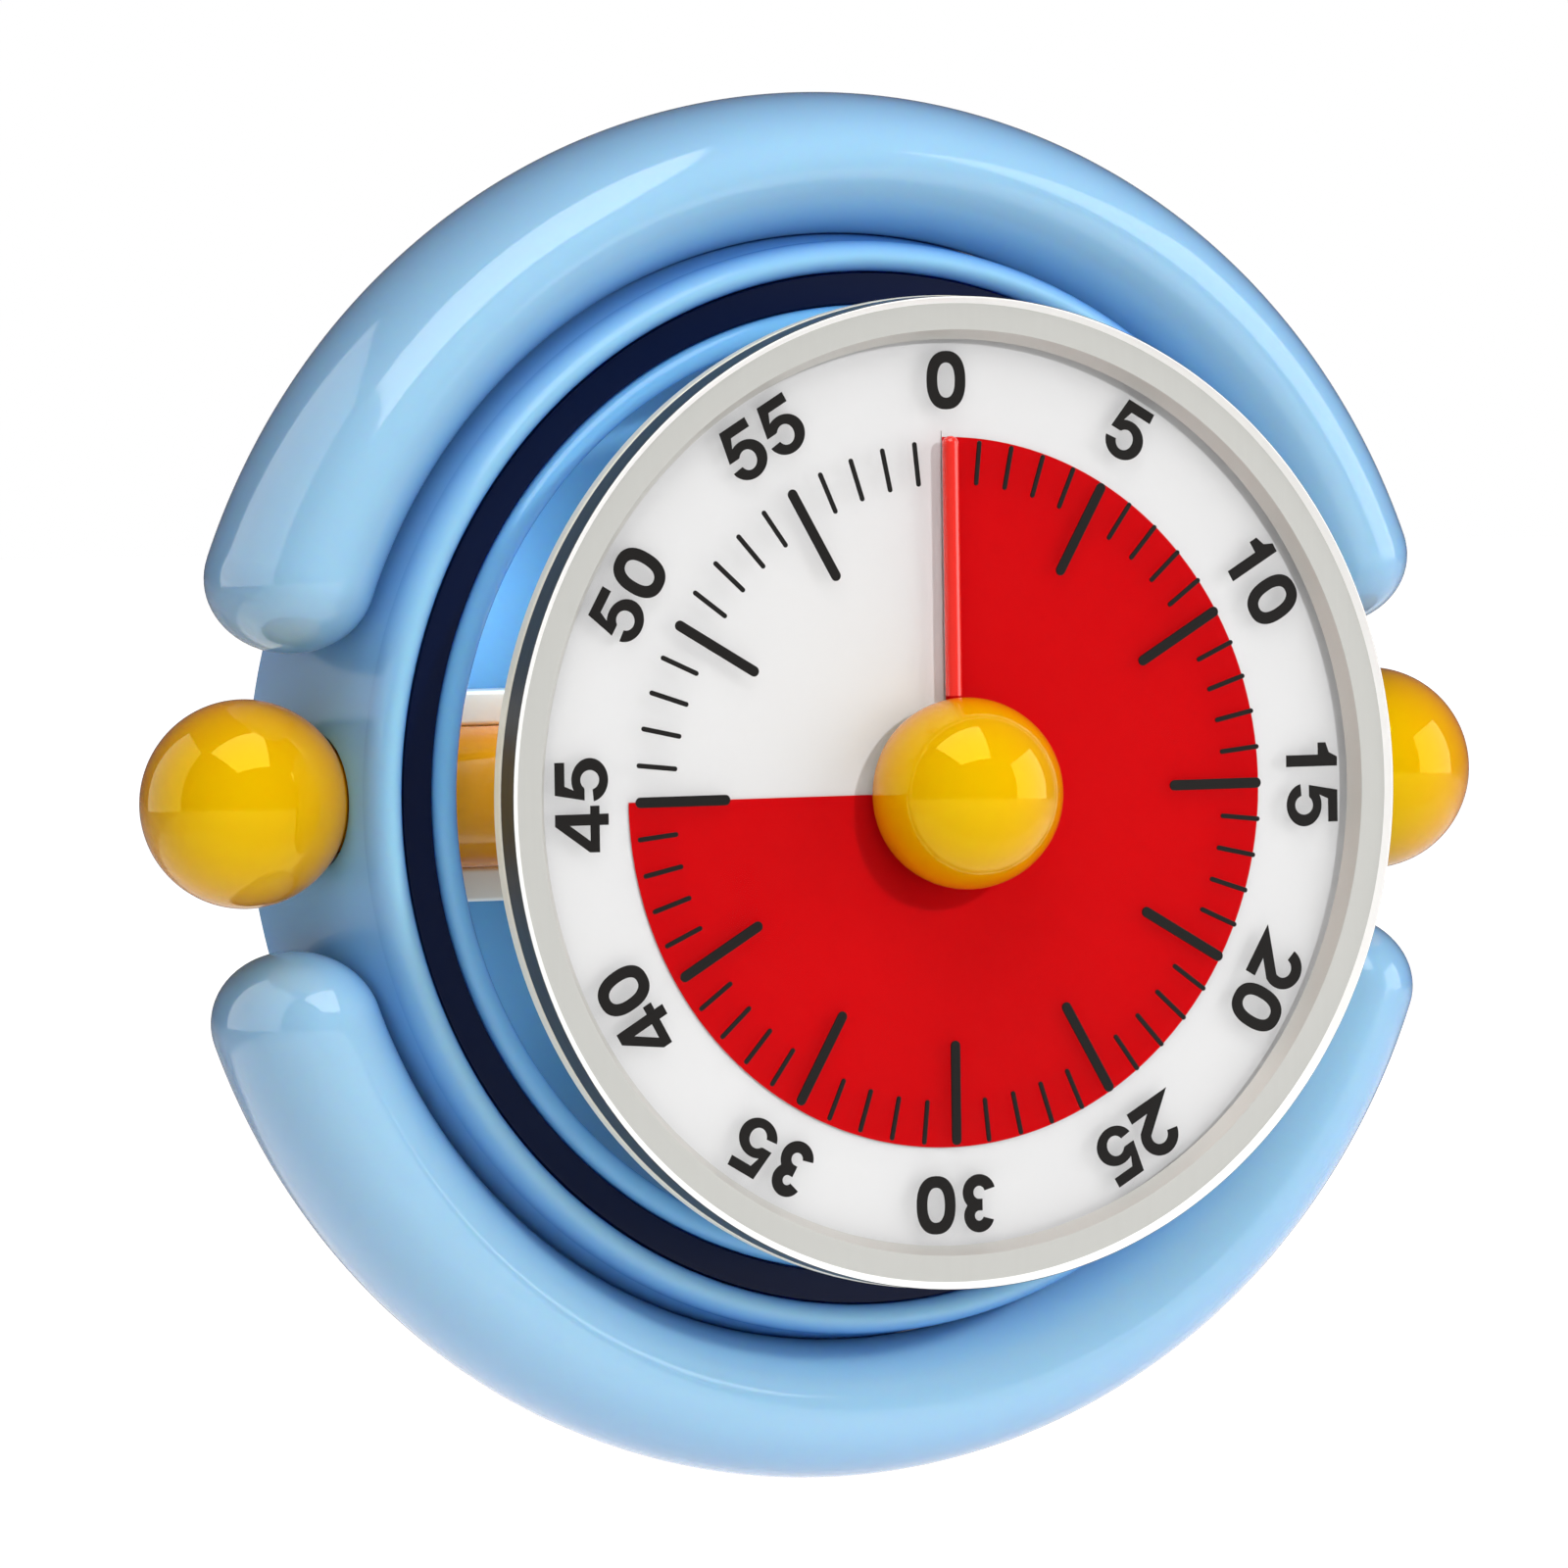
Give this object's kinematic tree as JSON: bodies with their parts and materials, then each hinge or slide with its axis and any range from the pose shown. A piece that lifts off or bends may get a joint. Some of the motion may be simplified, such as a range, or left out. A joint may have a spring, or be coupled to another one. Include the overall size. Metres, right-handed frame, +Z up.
{
  "type": "kitchen timer",
  "caption": "Round wind-up kitchen timer: tilting dial head with red time sheet, ball knobs, thick rounded ring frame with magnetic back.",
  "frame": {"origin": "centre of the flat back face, on the height of the tilt axle", "axes": "+X right as seen from the front, +Z up, front faces -Y; the tilt axle is parallel to X"},
  "size_m": [0.12, 0.0443, 0.1132],
  "materials": {
    "shell_blue": "gloss moulded plastic",
    "liner_blue": "gloss moulded plastic",
    "bumper_blue": "smooth satin-gloss soft skin",
    "navy": "gloss",
    "cream": "satin moulded plastic",
    "yellow": "high gloss",
    "face_white": "matte",
    "marks_black": "satin raised print",
    "sheet_red": "matte film",
    "rod_red": "gloss",
    "clear": "clear moulded window",
    "bezel_metal": "satin front, polished edge",
    "steel": "bright zinc",
    "brass": "stamped brass",
    "dark_rubber": "matte",
    "magnet": "nickel plated"
  },
  "bodies": {
    "frame": {"rear_cover": "shell_blue", "front_shell": "shell_blue", "inner_liner": "liner_blue", "groove_ring": "navy", "bumper_upper": "bumper_blue", "bumper_lower": "bumper_blue", "axle_bush_left": "cream", "axle_bush_right": "cream", "axle_cradle_left": "cream", "axle_cradle_right": "cream", "grip_ring": "dark_rubber", "magnets": "magnet", "cover_screws": "steel", "cradle_screws": "steel"},
    "head": {"axle": "yellow", "ball_knob_left": "yellow", "ball_knob_right": "yellow", "rear_case": "cream", "axle_clamp": "cream", "clamp_screws": "steel", "bezel": "bezel_metal", "face_plate": "face_white", "dial_window": "clear", "minute_marks": "marks_black", "numerals": "marks_black", "index_rod": "rod_red", "movement_rear_plate": "brass", "movement_front_plate": "brass", "movement_pillars": "brass", "movement_screws": "steel", "bell": "steel", "bell_post": "steel", "pallet_post": "steel", "hammer_post": "steel"},
    "winder": {"centre_knob": "yellow", "winding_arbor": "steel", "main_wheel": "brass", "mainspring": "steel"},
    "second_spindle": {"second_arbor": "steel", "second_wheel": "brass"},
    "third_spindle": {"third_arbor": "steel", "third_wheel": "brass"},
    "escape_spindle": {"escape_arbor": "steel", "escape_wheel": "brass"},
    "pallet": {"pallet_lever": "steel"},
    "striker": {"hammer": "steel"},
    "sheet_mid": {"time_sheet_trailing": "sheet_red"},
    "sheet_lead": {"time_sheet_leading": "sheet_red"}
  },
  "joints": [
    {"name": "head_tilt", "type": "hinge", "parent": "frame", "child": "head", "pos_m": [0, -0.0105, 0], "axis": [1, 0, 0], "range_deg": [-10, 10]},
    {"name": "knob_turn", "type": "hinge", "parent": "head", "child": "winder", "pos_m": [0, -0.03, 0], "axis": [0, 1, 0], "range_deg": [-270, 90], "deforming": ["mainspring"]},
    {"name": "second_turn", "type": "hinge", "parent": "head", "child": "second_spindle", "pos_m": [0.0072, -0.023, -0.01247], "axis": [0, 1, 0], "range_deg": [-450, 1350]},
    {"name": "third_turn", "type": "hinge", "parent": "head", "child": "third_spindle", "pos_m": [0.01601, -0.023, -0.00675], "axis": [0, 1, 0], "range_deg": [-5400, 1800]},
    {"name": "escape_turn", "type": "hinge", "parent": "head", "child": "escape_spindle", "pos_m": [0.01444, -0.023, 0.00211], "axis": [0, 1, 0], "range_deg": [-7200, 21600]},
    {"name": "pallet_rock", "type": "hinge", "parent": "head", "child": "pallet", "pos_m": [0.01543, -0.025, 0.00768], "axis": [0, 1, 0], "range_deg": [-8, 8]},
    {"name": "hammer_swing", "type": "hinge", "parent": "head", "child": "striker", "pos_m": [-0.0055, -0.023, 0.0175], "axis": [0, 1, 0], "range_deg": [-2.5, 10]},
    {"name": "sheet_mid_turn", "type": "hinge", "parent": "head", "child": "sheet_mid", "pos_m": [0, -0.0331, 0], "axis": [0, 1, 0], "range_deg": [-135, 45], "deforming": ["time_sheet_trailing"]},
    {"name": "sheet_lead_turn", "type": "hinge", "parent": "sheet_mid", "child": "sheet_lead", "pos_m": [0, -0.0331, 0], "axis": [0, 1, 0], "range_deg": [-135, 45], "deforming": ["time_sheet_leading"]}
  ],
  "couplings": [
    {"joint": "second_turn", "follows": "knob_turn", "ratio": -5},
    {"joint": "third_turn", "follows": "knob_turn", "ratio": 20},
    {"joint": "escape_turn", "follows": "knob_turn", "ratio": -80},
    {"joint": "sheet_mid_turn", "follows": "knob_turn", "ratio": 0.5},
    {"joint": "sheet_lead_turn", "follows": "knob_turn", "ratio": 0.5}
  ]
}
